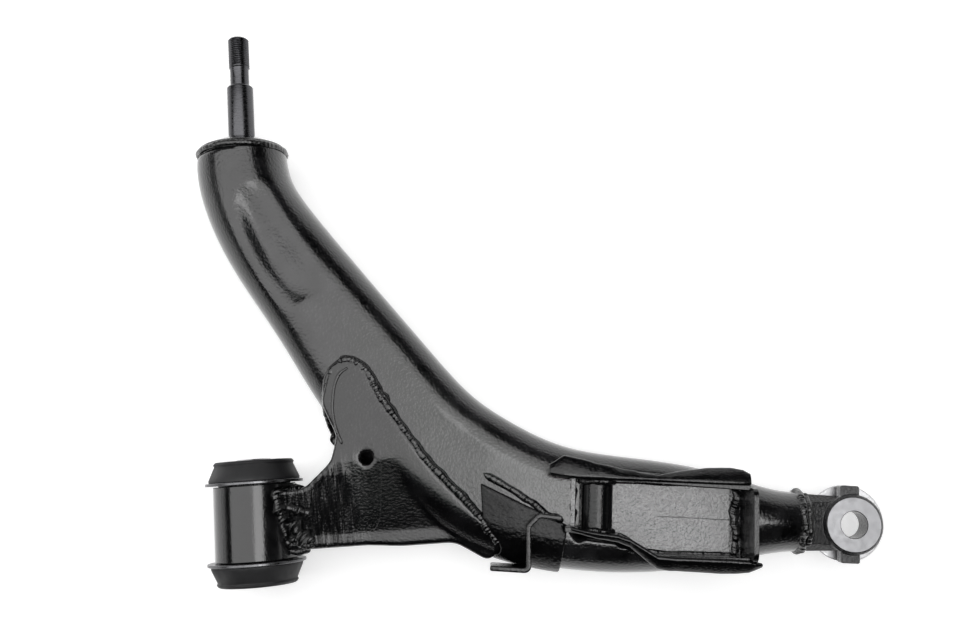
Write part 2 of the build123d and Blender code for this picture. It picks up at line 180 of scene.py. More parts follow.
# %% Lights
def soft_panel(name, place, target, size, power):
    data = bpy.data.lights.new(name, "AREA")
    data.shape = "RECTANGLE"
    data.size = size[0]
    data.size_y = size[1]
    data.energy = power
    lamp = bpy.data.objects.new(name, data)
    bpy.context.scene.collection.objects.link(lamp)
    lamp.location = place
    lamp.rotation_euler = (Vector(target) - Vector(place)).to_track_quat("-Z", "Y").to_euler()
    return lamp


def panel_power(brightness, size):
    """Watts that give a panel this brightness, where 1 is pure white."""
    return brightness * math.pi * size[0] * size[1]


CEILING = 1.5
wide = (3.4, 1.6)
near = (0.8, 0.7)
soft_panel("panel_wide", (-0.8, 0.4, CEILING), (-0.8, 0.4, 0), wide, panel_power(2.25, wide))
soft_panel("panel_near", (0.58, -0.08, CEILING - 0.05), (0.58, -0.08, 0), near, panel_power(2.6, near))
print("two panels at", CEILING, "m")

# %% [markdown]
# ## Building blocks for finishes
# Every finish is a small node tree on Object coordinates, which are the arm's own metres, so a
# grain of two millimetres is two millimetres on every piece. Image textures would need unwrapping
# and blur up close. A number that is the same all over stays on the shader's own socket.

# %% Nodes shared by the finishes
def make_material(name, color, roughness, metallic=0.0):
    material = bpy.data.materials.new(name)
    material.use_nodes = True
    shader = material.node_tree.nodes["Principled BSDF"]
    shader.inputs["Base Color"].default_value = (*color, 1)
    shader.inputs["Roughness"].default_value = roughness
    shader.inputs["Metallic"].default_value = metallic
    return material, material.node_tree, shader


def object_place(tree):
    return tree.nodes.new("ShaderNodeTexCoord").outputs["Object"]


def add_noise(tree, scale, detail=3.0, rough=0.5):
    node = tree.nodes.new("ShaderNodeTexNoise")
    node.inputs["Scale"].default_value = scale
    node.inputs["Detail"].default_value = detail
    node.inputs["Roughness"].default_value = rough
    tree.links.new(object_place(tree), node.inputs["Vector"])
    return node.outputs["Fac"]


def map_range(tree, value, low, high, to_low, to_high):
    node = tree.nodes.new("ShaderNodeMapRange")
    node.inputs["From Min"].default_value = low
    node.inputs["From Max"].default_value = high
    node.inputs["To Min"].default_value = to_low
    node.inputs["To Max"].default_value = to_high
    tree.links.new(value, node.inputs["Value"])
    return node.outputs["Result"]


def add_bump(tree, shader, height, strength, distance, below=None):
    node = tree.nodes.new("ShaderNodeBump")
    node.inputs["Strength"].default_value = strength
    node.inputs["Distance"].default_value = distance
    tree.links.new(height, node.inputs["Height"])
    if below is not None:
        tree.links.new(below, node.inputs["Normal"])
    tree.links.new(node.outputs["Normal"], shader.inputs["Normal"])
    return node.outputs["Normal"]


print("node helpers ready")

# %% [markdown]
# ## Dip coating
# The arm is dipped in black paint after welding. The coat is clear gloss over black, with orange
# peel from drying and a thin haze of dust. Peel as real bumps in the mesh would cost millions of
# faces, so two sizes of noise tilt the shading instead. Each kind of piece gets its own mix of
# peel, haze and shine. The channel floor's copy has a paler black and more grey haze: that is
# painted light, standing in for the brighter reflection on the floor.

# %% Dip coating
def dip_paint(name, color, roughness, peel, peel_size, haze=0.012, shine=0.6):
    """Black dip coating: clear gloss over black, with orange peel and thin uneven grey patches of dust; a
    paler copy with more haze paints light.
    """
    material, tree, shader = make_material(name, color, roughness)
    shader.inputs["Specular IOR Level"].default_value = shine
    shader.inputs["Coat Weight"].default_value = shine
    shader.inputs["Coat Roughness"].default_value = 0.07
    wave = add_bump(tree, shader, add_noise(tree, 60.0, 2.0), 0.3, 0.6 * MM)
    add_bump(tree, shader, add_noise(tree, 1.0 / peel_size, 2.0), peel, 0.7 * MM, wave)
    cloud = map_range(tree, add_noise(tree, 25.0), 0.35, 0.7, roughness * 0.7, roughness * 1.4)
    tree.links.new(cloud, shader.inputs["Roughness"])
    # Grey patches lifted into the black: dust, and on the floor's paler copy also painted light
    dust_and_painted_light = tree.nodes.new("ShaderNodeMix")
    dust_and_painted_light.data_type = "RGBA"
    dust_and_painted_light.inputs["A"].default_value = (*color, 1)
    dust_and_painted_light.inputs["B"].default_value = (color[0] + haze, color[1] + haze, color[2] + haze * 1.05, 1)
    patches = map_range(tree, add_noise(tree, 42.0, 8.0, 0.62), 0.42, 0.66, 0.0, 1.0)
    tree.links.new(patches, dust_and_painted_light.inputs["Factor"])
    tree.links.new(dust_and_painted_light.outputs["Result"], shader.inputs["Base Color"])
    return material


gloss_black = dip_paint("gloss_black_dip", (0.0018, 0.0018, 0.002), 0.15, 0.55, 1.7 * MM, 0.014, 0.5)
branch_paint = dip_paint("branch_dip", (0.0018, 0.0018, 0.002), 0.15, 0.45, 1.5 * MM, 0.004, 0.42)
barrel_paint = dip_paint("barrel_dip", (0.0018, 0.0018, 0.002), 0.15, 0.2, 1.7 * MM, 0.01, 0.45)
channel_paint = dip_paint("channel_dip", (0.0018, 0.0018, 0.002), 0.14, 0.5, 1.5 * MM, 0.002, 0.3)
gusset_paint = dip_paint("gusset_dip", (0.0018, 0.0018, 0.002), 0.22, 1.0, 2.4 * MM, 0.004, 0.15)
# The channel floor's copy: a paler black and more haze are painted light, for the reflection the floor shows
floor_paint_with_painted_light = dip_paint("floor_dip_painted_light", (0.009, 0.009, 0.01), 0.22, 1.0, 1.9 * MM, 0.03, 0.75)
weld_paint = dip_paint("weld_dip", (0.0018, 0.0018, 0.002), 0.12, 0.5, 0.8 * MM, 0.003, 0.5)
forging_paint = dip_paint("forging_dip", (0.004, 0.004, 0.0045), 0.22, 1.0, 1.4 * MM, 0.008, 0.4)
mark_paint = dip_paint("scribed_line", (0.002, 0.002, 0.002), 0.5, 0.1, 1.0 * MM)
print("dip coatings ready")

# %% [markdown]
# ## Wrinkles of the pressing
# Deep drawing crowds the sheet near the bush and leaves fine folds along the pivot axis. They are
# noise drawn out along one direction, kept by two soft masks to the place where the sheet gathered.
# The bump goes on after the orange peel, so both show.

# %% Drawing wrinkles
def stretched_noise(tree, stretch, scale, detail=3.0):
    """Noise on the object's own metres, drawn out along one direction."""
    place = tree.nodes.new("ShaderNodeMapping")
    place.inputs["Scale"].default_value = stretch
    tree.links.new(object_place(tree), place.inputs["Vector"])
    node = tree.nodes.new("ShaderNodeTexNoise")
    node.inputs["Scale"].default_value = scale
    node.inputs["Detail"].default_value = detail
    tree.links.new(place.outputs["Vector"], node.inputs["Vector"])
    return node.outputs["Fac"]


def height_mask(tree, axis, low, high):
    """One at low and nothing at high, along one axis of the object's own metres."""
    split = tree.nodes.new("ShaderNodeSeparateXYZ")
    tree.links.new(object_place(tree), split.inputs[0])
    return map_range(tree, split.outputs[axis], low, high, 1.0, 0.0)


def times(tree, first, second):
    node = tree.nodes.new("ShaderNodeMath")
    node.operation = "MULTIPLY"
    tree.links.new(first, node.inputs[0])
    tree.links.new(second, node.inputs[1])
    return node.outputs["Value"]


wrinkle_tree = branch_paint.node_tree
wrinkle_shader = wrinkle_tree.nodes["Principled BSDF"]
wrinkles = stretched_noise(wrinkle_tree, (1.0, 0.09, 0.09), 300.0, 1.0)
wrinkles = times(wrinkle_tree, wrinkles, height_mask(wrinkle_tree, "X", 0.062, 0.086))
wrinkles = times(wrinkle_tree, wrinkles, height_mask(wrinkle_tree, "Y", 0.03, 0.05))
earlier = wrinkle_shader.inputs["Normal"].links[0].from_socket
add_bump(wrinkle_tree, wrinkle_shader, wrinkles, 1.0, 4.5 * MM, earlier)
print("wrinkles on", branch_paint.name)

# %% [markdown]
# ## Bare steel and rubber
# The stud is blackened, the bush flanges are dark bare steel, the disc under the eye is plated, and
# the inner sleeve is turned. One helper makes them all: a metal whose gloss follows fine tool marks.
# Rubber is matt and grainy and has no metal in it, so it gets its own two sizes of bump.

# %% Steels and rubber
def vary_with(tree, socket, value, low, high):
    tree.links.new(map_range(tree, value, 0.3, 0.7, low, high), socket)


def steel(name, color, roughness, grain, stretch=(1.0, 1.0, 1.0), bump=0.15):
    material, tree, shader = make_material(name, color, roughness, 1.0)
    marks = stretched_noise(tree, stretch, grain)
    vary_with(tree, shader.inputs["Roughness"], marks, roughness * 0.7, roughness * 1.35)
    add_bump(tree, shader, marks, bump, 0.15 * MM)
    return material


rubber, rubber_tree, rubber_shader = make_material("bush_rubber", (0.009, 0.009, 0.01), 0.5)
rubber_grain = add_bump(rubber_tree, rubber_shader, add_noise(rubber_tree, 900.0), 0.25, 0.1 * MM)
add_bump(rubber_tree, rubber_shader, add_noise(rubber_tree, 120.0), 0.3, 0.5 * MM, rubber_grain)
vary_with(rubber_tree, rubber_shader.inputs["Roughness"], add_noise(rubber_tree, 60.0), 0.45, 0.75)
black_steel = steel("blackened_steel", (0.085, 0.085, 0.09), 0.26, 900.0, (0.3, 1.0, 0.3))
flange_steel = steel("flange_steel", (0.14, 0.14, 0.145), 0.3, 500.0)
plated = steel("plated_steel", (0.62, 0.62, 0.63), 0.45, 700.0)
turned = steel("turned_steel", (0.5, 0.5, 0.51), 0.3, 900.0, (0.2, 1.0, 0.2))
print("steels and rubber ready")

# %% [markdown]
# ## Faced steel
# A cutter turning about the eye leaves fine circles. Rings of a wave texture are centred on the eye
# by a Mapping node, so the circles stay round the bore. Modelling each circle would be far too
# fine for a mesh.

# %% Faced steel
faced_steel, faced_tree, faced_shader = make_material("faced_steel", (0.34, 0.34, 0.35), 0.42, 1.0)
faced_place = faced_tree.nodes.new("ShaderNodeMapping")
faced_place.inputs["Location"].default_value = (-0.4325, 0.031, 0.0)
faced_tree.links.new(object_place(faced_tree), faced_place.inputs["Vector"])
faced_rings = faced_tree.nodes.new("ShaderNodeTexWave")
faced_rings.wave_type = "RINGS"
faced_rings.rings_direction = "Z"
faced_rings.inputs["Scale"].default_value = 620.0
faced_rings.inputs["Distortion"].default_value = 0.4
faced_tree.links.new(faced_place.outputs["Vector"], faced_rings.inputs["Vector"])
add_bump(faced_tree, faced_shader, faced_rings.outputs["Fac"], 0.18, 0.08 * MM)
vary_with(faced_tree, faced_shader.inputs["Roughness"], add_noise(faced_tree, 200.0), 0.34, 0.5)
print("faced steel ready")

# %% [markdown]
# ## Finishes for the CAD nodes
# Each CAD node names a material slot in the record. A table turns that name into one of the
# finishes above. Setting them by hand, node by node, would be easy to get wrong when a node
# is added. Most of these nodes are replaced by finer pieces further down.

# %% Dress the CAD nodes
FINISHES = {
    "gloss_black_paint": gloss_black,
    "channel_paint": channel_paint,
    "weld_paint": weld_paint,
    "forging_paint": forging_paint,
    "blackened_steel": black_steel,
    "flange_steel": flange_steel,
    "sleeve_steel": turned,
    "plated_steel": plated,
    "bush_rubber": rubber,
}
slot_of = {part["node"]: part["material_slot"] for part in frame["record"]["subparts"]}
for node_name, node in frame["nodes"].items():
    finish = FINISHES[slot_of[node_name]]
    if node.data.materials:
        for index in range(len(node.data.materials)):
            node.data.materials[index] = finish
    else:
        node.data.materials.append(finish)
print("dressed", len(frame["nodes"]), "nodes")

# %% [markdown]
# ## Places on the outer run
# The channel, the neck and the eye lie along one straight run that is turned a little from +X.
# Measuring along and across that run keeps the numbers plain. Every new piece is also told its
# finish and the body that it moves with.

# %% Places and dressing
ARM_HEADING = math.radians(-6.3)
RUN_DIRECTION = Vector((math.cos(ARM_HEADING), math.sin(ARM_HEADING), 0.0))
RUN_LEFT = Vector((-math.sin(ARM_HEADING), math.cos(ARM_HEADING), 0.0))
EYE = Vector((432.5 * MM, -31.0 * MM, 0.0))
UP = Vector((0.0, 0.0, 1.0))


def run_point(u, v, z=0.0):
    """A place on the outer run, in millimetres from the eye: along it, across it and up."""
    return EYE + RUN_DIRECTION * (u * MM) + RUN_LEFT * (v * MM) + UP * (z * MM)


def dress(piece, finish, body="arm"):
    piece.data.materials.clear()
    piece.data.materials.append(finish)
    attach(piece, body)
    return piece


def smooth_faces(piece, angle=None):
    piece.data.shade_smooth()
    if angle is not None:
        piece.data.set_sharp_from_angle(angle=math.radians(angle))


def cad_copy(node):
    bm = bmesh.new()
    bm.from_mesh(frame["nodes"][node].data)
    bmesh.ops.remove_doubles(bm, verts=bm.verts, dist=0.01 * MM)
    return bm


print("eye at", [round(v, 4) for v in EYE])

# %% [markdown]
# ## Drawing out a skin
# Whatever is bent, rolled or laid down along a path is a ring of points carried from station to
# station. A curve with a bevel would be shorter to write, but its section can't change freely. Here
# a circle is extruded edge by edge, and each new ring is moved to its place.

# %% Drawing out
def draw_out(bm, rings):
    """A skin through rings of points: a circle extruded from each ring to the next."""
    start = bmesh.ops.create_circle(bm, cap_ends=False, segments=len(rings[0]), radius=1.0)["verts"]
    for vertex, place in zip(start, rings[0]):
        vertex.co = place
    loop = list({edge for vertex in start for edge in vertex.link_edges})
    order = {vertex: index for index, vertex in enumerate(start)}
    first = loop
    for ring in rings[1:]:
        made = bmesh.ops.extrude_edge_only(bm, edges=loop)["geom"]
        fresh = [item for item in made if isinstance(item, bmesh.types.BMVert)]
        following = {}
        for vertex in fresh:
            for edge in vertex.link_edges:
                other = edge.other_vert(vertex)
                if other in order:
                    following[vertex] = order[other]
                    break
            vertex.co = ring[following[vertex]]
        loop = [item for item in made if isinstance(item, bmesh.types.BMEdge)]
        loop = [edge for edge in loop if edge.verts[0] in following and edge.verts[1] in following]
        order = following
    return first, loop


def drawn_piece(name, rings, subdivide=0):
    bm = bmesh.new()
    first, last = draw_out(bm, rings)
    bmesh.ops.contextual_create(bm, geom=first)
    bmesh.ops.contextual_create(bm, geom=last)
    bmesh.ops.recalc_face_normals(bm, faces=bm.faces)
    piece = finish_mesh(name, bm)
    smooth_faces(piece)
    if subdivide:
        skin = piece.modifiers.new("skin", "SUBSURF")
        skin.levels = subdivide
        skin.render_levels = subdivide
    return piece


def node_tree(node):
    bm = cad_copy(node)
    tree = BVHTree.FromBMesh(bm)
    bm.free()
    return tree


print("drawing out ready")

# %% [markdown]
# ## The line of the tube
# The tube is one seamless pipe, bent twice: a tight bend behind the stud and a wide one at the
# elbow, with straight lengths between and after. Its centreline is worked out as arcs and lines,
# as a bending machine is set, so the stations are even and the bends are true arcs.

# %% Tube centreline
FRONT_CENTRE = Vector((120.0, 279.0))
FRONT_RADIUS = 120.0
LEG_HEADING = -57.0
BEND_RADIUS = 247.0


def centreline():
    """Places and headings along the tube, in millimetres and degrees, about every 2.6 mm."""
    stations = []
    turn = 90.0 + LEG_HEADING
    steps = 30
    for i in range(steps + 1):
        heading = math.radians(-90.0 + turn * i / steps)
        place = FRONT_CENTRE + Vector((math.sin(heading), -math.cos(heading))) * FRONT_RADIUS
        stations.append((place, heading))
    leg_start = stations[-1][0]
    leg = Vector((math.cos(math.radians(LEG_HEADING)), math.sin(math.radians(LEG_HEADING))))
    run = Vector((math.cos(ARM_HEADING), math.sin(ARM_HEADING)))
    eye = Vector((432.5, -31.0))
    bend = math.radians(-6.3 - LEG_HEADING)
    reach = BEND_RADIUS * math.tan(bend / 2)
    gap = eye - leg_start
    cross = leg.x * run.y - leg.y * run.x
    corner = leg_start + leg * ((gap.x * run.y - gap.y * run.x) / cross)
    leg_end = corner - leg * reach
    length = (leg_end - leg_start).length
    steps = int(length / 2.6)
    for i in range(1, steps + 1):
        stations.append((leg_start + leg * (length * i / steps), math.radians(LEG_HEADING)))
    left = Vector((-leg.y, leg.x))
    centre = leg_end + left * BEND_RADIUS
    steps = int(BEND_RADIUS * bend / 2.6)
    for i in range(1, steps + 1):
        heading = math.radians(LEG_HEADING) + bend * i / steps
        place = centre + Vector((math.sin(heading), -math.cos(heading))) * BEND_RADIUS
        stations.append((place, heading))
    bend_end = stations[-1][0]
    length = (eye - run * 36.5 - bend_end).length
    steps = int(length / 2.6)
    for i in range(1, steps + 1):
        stations.append((bend_end + run * (length * i / steps), ARM_HEADING))
    return stations


print("stations", len(centreline()))

# %% [markdown]
# ## Where the tube gives way
# The bending die left a crease along the top behind the stud end, and a faint flat further down.
# Where the channel is let in, the skin goes down under the floor plate. Sculpting would do this by
# eye. Two small functions of place do it the same way each time.

# %% Hollows in the tube
def stadium(turn, wide, half):
    """Distance to a flattened round's edge in the direction turn."""
    flat = max(wide - half, 0.0)
    rise = math.sin(turn)
    reach = abs(math.cos(turn))
    if rise > 0 and half / rise * reach <= flat:
        return half / rise
    return flat * reach + math.sqrt(max(half ** 2 - (flat * rise) ** 2, 0.0))


def in_channel(u, v):
    """True inside the walls' mid thickness, where the channel is let into the tube."""
    if not -200.0 < u < -81.5:
        return False
    swing = min(max((u + 172.0) / 26.0, 0.0), 1.0)
    rear = -12.5 - 13.0 * swing - 3.0
    return rear < v < 27.5


def crease_depth(x, y):
    """How far the bending crease and the faint flat press into the top, in millimetres."""
    start = Vector((5.0, 247.0))
    end = Vector((46.0, 156.0))
    bow = Vector((-0.91, -0.41))
    line = end - start
    t = (Vector((x, y)) - start).dot(line) / line.length_squared
    inside = max(0.0, 1.0 - abs(2 * t - 1.0) ** 2.5)
    middle = start + line * t + bow * (4.0 * (1 - (2 * t - 1) ** 2))
    aside = (Vector((x, y)) - middle).dot(-bow)
    span = 17.0 if aside < 0 else 26.0
    fall = max(0.0, 1.0 - abs(aside) / span)
    crease = 7.6 * inside * fall * fall * (3 - 2 * fall)
    far = Vector(((x - 150.0) / 22.0, (y - 53.0) / 14.0)).length
    return crease + 0.7 * math.exp(-far ** 2)


print("crease at its middle", round(crease_depth(21.0, 201.0), 1), "mm")

# %% [markdown]
# ## The main tube
# The CAD solid is right in shape, but its loose triangles would spoil a gloss finish. So rays are
# sent in from outside, ring by ring along the centreline, and the points they meet make a skin of
# even faces. Where the channel is cut in there is nothing to meet, and the flattened round of
# the section fills in. The skin is closed and has no hollow, since its ends are covered.

# %% Main tube
TUBE_POINTS = 80
TUBE_HALF_HEIGHT = 25.0
OUTSIDE = 0.12                # rays start this far from the centreline
tube_tree = node_tree("main_tube")
tube_rings = []
for flat_place, heading in centreline():
    place = Vector((flat_place.x * MM, flat_place.y * MM, 0.0))
    across = Vector((math.sin(heading), -math.cos(heading), 0.0))
    sides = []
    for direction in (across, -across):
        hit = tube_tree.ray_cast(place + direction * OUTSIDE - UP * 0.001, -direction)
        sides.append((hit[0] - place).length / MM if hit[0] is not None else 30.0)
    u = (place - EYE).dot(RUN_DIRECTION) / MM
    ring = []
    for k in range(TUBE_POINTS):
        turn = 2 * math.pi * k / TUBE_POINTS
        direction = across * math.cos(turn) + UP * math.sin(turn)
        hit = tube_tree.ray_cast(place + direction * OUTSIDE, -direction)
        reach = (hit[0] - place).length if hit[0] is not None else 0.0
        if -208.0 < u < -76.0 and math.sin(turn) > 0.05 or reach < 15 * MM:
            wide = sides[0] if math.cos(turn) > 0 else sides[1]
            reach = stadium(turn, wide, TUBE_HALF_HEIGHT) * MM
        point = place + direction * reach
        if math.sin(turn) > 0:
            point.z -= crease_depth(point.x / MM, point.y / MM) * MM
            spot = point - EYE
            if in_channel(spot.dot(RUN_DIRECTION) / MM, spot.dot(RUN_LEFT) / MM):
                point.z = min(point.z, 7.0 * MM)
        ring.append(point)
    tube_rings.append(ring)
tube = drawn_piece("main_tube_skin", tube_rings, subdivide=1)
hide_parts("main_tube")
dress(tube, gloss_black)
print("tube rings", len(tube_rings))

# %% [markdown]
# ## Pressings of the rear branch
# The branch is two pressed halves. The upper one wraps up over the tube as a tongue and slopes down
# to a ledge behind. Deep drawing leaves no sharp edge anywhere. A bevel fails where so many
# edges meet, so both halves are remelted into one even skin and relaxed.

# %% Rear branch
def melted_node(node, voxel, rounds, finish):
    """The node's shape remelted into one even skin, so every pressed edge runs out softly."""
    piece = finish_mesh(node + "_pressed", cad_copy(node))
    remesh = piece.modifiers.new("one_skin", "REMESH")
    remesh.mode = "VOXEL"
    remesh.voxel_size = voxel
    remesh.use_smooth_shade = True
    relax = piece.modifiers.new("relax", "SMOOTH")
    relax.factor = 0.6
    relax.iterations = rounds
    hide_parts(node)
    return dress(piece, finish)


melted_node("branch_upper_shell", 1.15 * MM, 24, branch_paint)
melted_node("branch_lower_shell", 1.15 * MM, 24, branch_paint)
print("branch pressed")

# %% [markdown]
# ## Plates and forgings
# These are cut, turned, forged or moulded parts whose shapes are already right. Only their edges
# need work: a small radius that catches a bright line of light, and a larger one on the rubber. A
# live Bevel gives it, and weighted normals keep the flats flat. The gusset and the bracket are
# bent sheet, so they are remelted instead.

# %% Plates, forging and bush shells
def round_edges(piece, width, segments=3, angle=30.0):
    bevel = piece.modifiers.new("rounding", "BEVEL")
    bevel.width = width
    bevel.segments = segments
    bevel.limit_method = "ANGLE"
    bevel.angle_limit = math.radians(angle)
    bevel.miter_outer = "MITER_ARC"
    weighted = piece.modifiers.new("flat_faces", "WEIGHTED_NORMAL")
    weighted.keep_sharp = True


def rounded_node(node, width, finish, body="arm", segments=3):
    """The node's own shape with its edges rounded off."""
    bm = cad_copy(node)
    bmesh.ops.dissolve_limit(bm, angle_limit=math.radians(0.3), verts=bm.verts, edges=bm.edges)
    piece = finish_mesh(node + "_rounded", bm)
    smooth_faces(piece, 40.0)
    round_edges(piece, width, segments)
    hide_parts(node)
    return dress(piece, finish, body)


rounded_node("stud_end_cap", 0.8 * MM, gloss_black)
# The floor plate gets the paler dip copy, whose colour paints reflected light
rounded_node("channel_floor", 0.4 * MM, floor_paint_with_painted_light)
rounded_node("channel_end_plate", 1.4 * MM, channel_paint)
melted_node("tube_gusset", 0.8 * MM, 16, gusset_paint)
rounded_node("cross_sleeve", 0.4 * MM, channel_paint)
rounded_node("eye_forging", 1.6 * MM, forging_paint, segments=4)
melted_node("harness_bracket", 0.55 * MM, 14, channel_paint)
rounded_node("bush_housing", 0.6 * MM, barrel_paint)
rounded_node("bush_shell_front", 0.5 * MM, flange_steel)
rounded_node("bush_shell_rear", 0.5 * MM, flange_steel)
rounded_node("bush_rubber_front", 1.3 * MM, rubber, segments=4)
rounded_node("bush_rubber_rear", 1.3 * MM, rubber, segments=4)
rounded_node("boot_shield", 0.5 * MM, plated)
print("edges rounded")

# %% [markdown]
# ## Uprights of the channel walls
# The two walls stand in the tube. Their uprights keep the CAD shape with its bolt hole, and the
# CAD lip is cut away by a level plane, because a finer one takes its place below.

# %% Channel uprights
def upright(node):
    bm = cad_copy(node)
    whole = list(bm.verts) + list(bm.edges) + list(bm.faces)
    bmesh.ops.bisect_plane(bm, geom=whole, plane_co=(0, 0, 41 * MM), plane_no=(0, 0, 1), clear_outer=True)
    rim = [edge for edge in bm.edges if edge.is_boundary]
    bmesh.ops.holes_fill(bm, edges=rim, sides=0)
    bmesh.ops.dissolve_limit(bm, angle_limit=math.radians(0.3), verts=bm.verts, edges=bm.edges)
    piece = finish_mesh(node + "_upright", bm)
    smooth_faces(piece, 40.0)
    round_edges(piece, 0.4 * MM)
    return dress(piece, channel_paint)


front_upright = upright("channel_front_wall")
rear_upright = upright("channel_rear_wall")
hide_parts("channel_front_wall")
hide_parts("channel_rear_wall")
print("two uprights")

# %% [markdown]
# ## Rolled lips
# Each wall carries a lip that is rolled outwards and a little down, more at one place than another.
# One constant section would look machine made. So the lip is drawn out from a table of stations,
# each giving the distance along, the inner face, the outer edge, the top and the fall.

# %% Rolled lips
def lip(name, stations, side):
    """stations: along, inner face, outer edge, top height, fall of the outer edge."""
    rings = []
    points = [(Vector(s[:3]), Vector((s[3], s[4], 0))) for s in stations]
    for i in range((len(points) - 1) * 8 + 1):
        at = i / 8
        low = min(int(at), len(points) - 2)
        t = at - low
        t = t * t * (3 - 2 * t)
        plan = points[low][0].lerp(points[low + 1][0], t)
        rise = points[low][1].lerp(points[low + 1][1], t)
        u, inner, outer = plan
        top, fall = rise[0], rise[1]
        wave = 0.5 * noise.noise(Vector((u * 0.12, side * 5.0, 0)))
        outer = outer + side * wave
        top = top + 0.4 * wave
        width = abs(outer - inner)
        shape = (
            (0.0, 39.5),
            (0.0, top - 2.4),
            (0.7, top - 0.6),
            (min(2.4, 0.4 * width), top),
            (0.62 * width, top - 0.45 * fall),
            (width - 0.4, top - fall),
            (width, top - fall - 1.1),
            (width - 0.7, top - fall - 2.4),
            (max(3.5, 0.6 * width), top - 3.2 - 0.5 * fall),
            (3.6, 39.5),
        )
        rings.append([run_point(u, inner + side * s, z) for s, z in shape])
    piece = drawn_piece(name, rings, subdivide=1)
    return dress(piece, channel_paint)


FRONT_LIP = (
    (-221, 26.5, 34.5, 44.5, 2.0),
    (-211, 25.0, 41.0, 46, 4.5),
    (-199, 24.5, 38.8, 46.5, 4.5),
    (-186, 24.5, 36.0, 45.5, 3.5),
    (-172, 24.5, 33.6, 46.3, 4.5),
    (-159, 24.5, 31.4, 45.5, 3.0),
    (-145, 24.5, 29.8, 45.5, 2.0),
    (-139, 24.5, 31.4, 46.5, 3.5),
    (-124, 24.5, 34.2, 46.8, 6.0),
    (-108, 24.5, 36.4, 46.8, 7.0),
    (-95, 24.5, 37.0, 46.5, 7.0),
    (-86, 24.5, 36.0, 46, 5.0),
    (-81, 25.0, 33.0, 45, 3.0),
)
REAR_LIP = (
    (-205, -8.0, -11.5, 44.5, 1.5),
    (-196, -9.8, -14.0, 45.5, 1.5),
    (-185, -11.0, -16.0, 46, 2.0),
    (-173, -12.0, -17.6, 46, 2.5),
    (-164, -14.5, -20.5, 46, 3.0),
    (-154, -20.0, -28.2, 46, 4.0),
    (-145, -25.0, -34.8, 46, 5.0),
    (-134, -25.6, -35.8, 46.3, 6.0),
    (-119, -25.5, -36.0, 46.3, 6.5),
    (-96, -25.5, -36.5, 46, 6.5),
    (-82, -25.8, -34.8, 46, 5.0),
    (-73, -27.5, -30.6, 45, 2.0),
)
lip("front_lip", FRONT_LIP, 1.0)
lip("rear_lip", REAR_LIP, -1.0)
print("two lips")

# %% [markdown]
# ## The front stud
# A turned stud: a smooth shank that carries the front bush, a relief, and an M16 thread of 1.5 mm
# pitch. Plain grooves would pass from afar. This thread is a true helix: each ring's radius depends
# on the angle as well as on the distance along, which is what a lathe does.

# %% Stud
def lathe_rings(profile, points=56):
    """Rings about the pivot axis from pairs of distance along and radius, both in millimetres."""
    rings = []
    for along, radius in profile:
        ring = []
        for k in range(points):
            turn = 2 * math.pi * k / points
            ring.append(Vector((radius * math.cos(turn), along, radius * math.sin(turn))) * MM)
        rings.append(ring)
    return rings


def thread_rings(start, end, outer, depth, pitch, points=56):
    rings = []
    steps = int((end - start) / pitch * 8)
    for i in range(steps + 1):
        along = start + (end - start) * i / steps
        fade = min(1.0, (along - start) / 1.0 + 0.15, (end - along) / 1.0 + 0.15)
        ring = []
        for k in range(points):
            turn = 2 * math.pi * k / points
            phase = ((along - start) / pitch - k / points) % 1.0
            cut = depth * fade * min(1.0, 1.25 * (1.0 - abs(2 * phase - 1.0)))
            radius = outer - cut
            ring.append(Vector((radius * math.cos(turn), along, radius * math.sin(turn))) * MM)
        rings.append(ring)
    return rings


stud_rings = lathe_rings([(280.2, 15.6), (280.2, 16.0), (285.8, 16.0), (286.0, 9.0), (291.2, 9.0),
                          (291.35, 9.95), (291.6, 10.0), (312.0, 10.0), (333.6, 10.0), (333.9, 9.95),
                          (334.9, 9.0), (335.0, 8.7), (335.0, 7.5), (335.3, 7.18), (342.0, 7.15),
                          (349.4, 7.15), (349.9, 7.25), (350.4, 7.8)])
stud_rings = stud_rings + thread_rings(350.6, 373.2, 8.0, 0.85, 1.5)
stud_rings = stud_rings + lathe_rings([(373.5, 7.6), (374.3, 6.9), (374.5, 6.5), (374.5, 3.0), (374.3, 1.6)])
stud = drawn_piece("front_stud_turned", stud_rings)
smooth_faces(stud, 45.0)
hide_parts("front_stud")
dress(stud, black_steel)
print("stud rings", len(stud_rings))

# %% [markdown]
# ## How a bead is laid
# A weld bead is a row of overlapping crescents, each a little unlike the last. A smooth rope with a
# bump texture gives itself away at its edge. Here the ripple is in the mesh: a smooth path is
# walked in short steps, and each ring swells, leans back and wanders by seeded noise.

# %% Weld bead
def smooth_path(points, step, closed=False):
    """Evenly spaced points on a smooth curve through the given ones, each with its surface normal."""
    count = len(points)
    dense = []
    spans = count if closed else count - 1
    for i in range(spans):
        if closed:
            four = [points[(i + k) % count] for k in (-1, 0, 1, 2)]
        else:
            four = [points[max(0, min(count - 1, i + k))] for k in (-1, 0, 1, 2)]
        for k in range(40):
            t = k / 40
            weights = (
                -0.5 * t + t * t - 0.5 * t ** 3,
                1 - 2.5 * t * t + 1.5 * t ** 3,
                0.5 * t + 2 * t * t - 1.5 * t ** 3,
                -0.5 * t * t + 0.5 * t ** 3,
            )
            place = sum((w * p[0] for w, p in zip(weights, four)), Vector())
            normal = sum((w * p[1] for w, p in zip(weights, four)), Vector())
            dense.append((place, normal.normalized()))
    dense.append(dense[0] if closed else points[-1])
    path = [dense[0]]
    for item in dense[1:]:
        if (item[0] - path[-1][0]).length >= step:
            path.append(item)
    return path


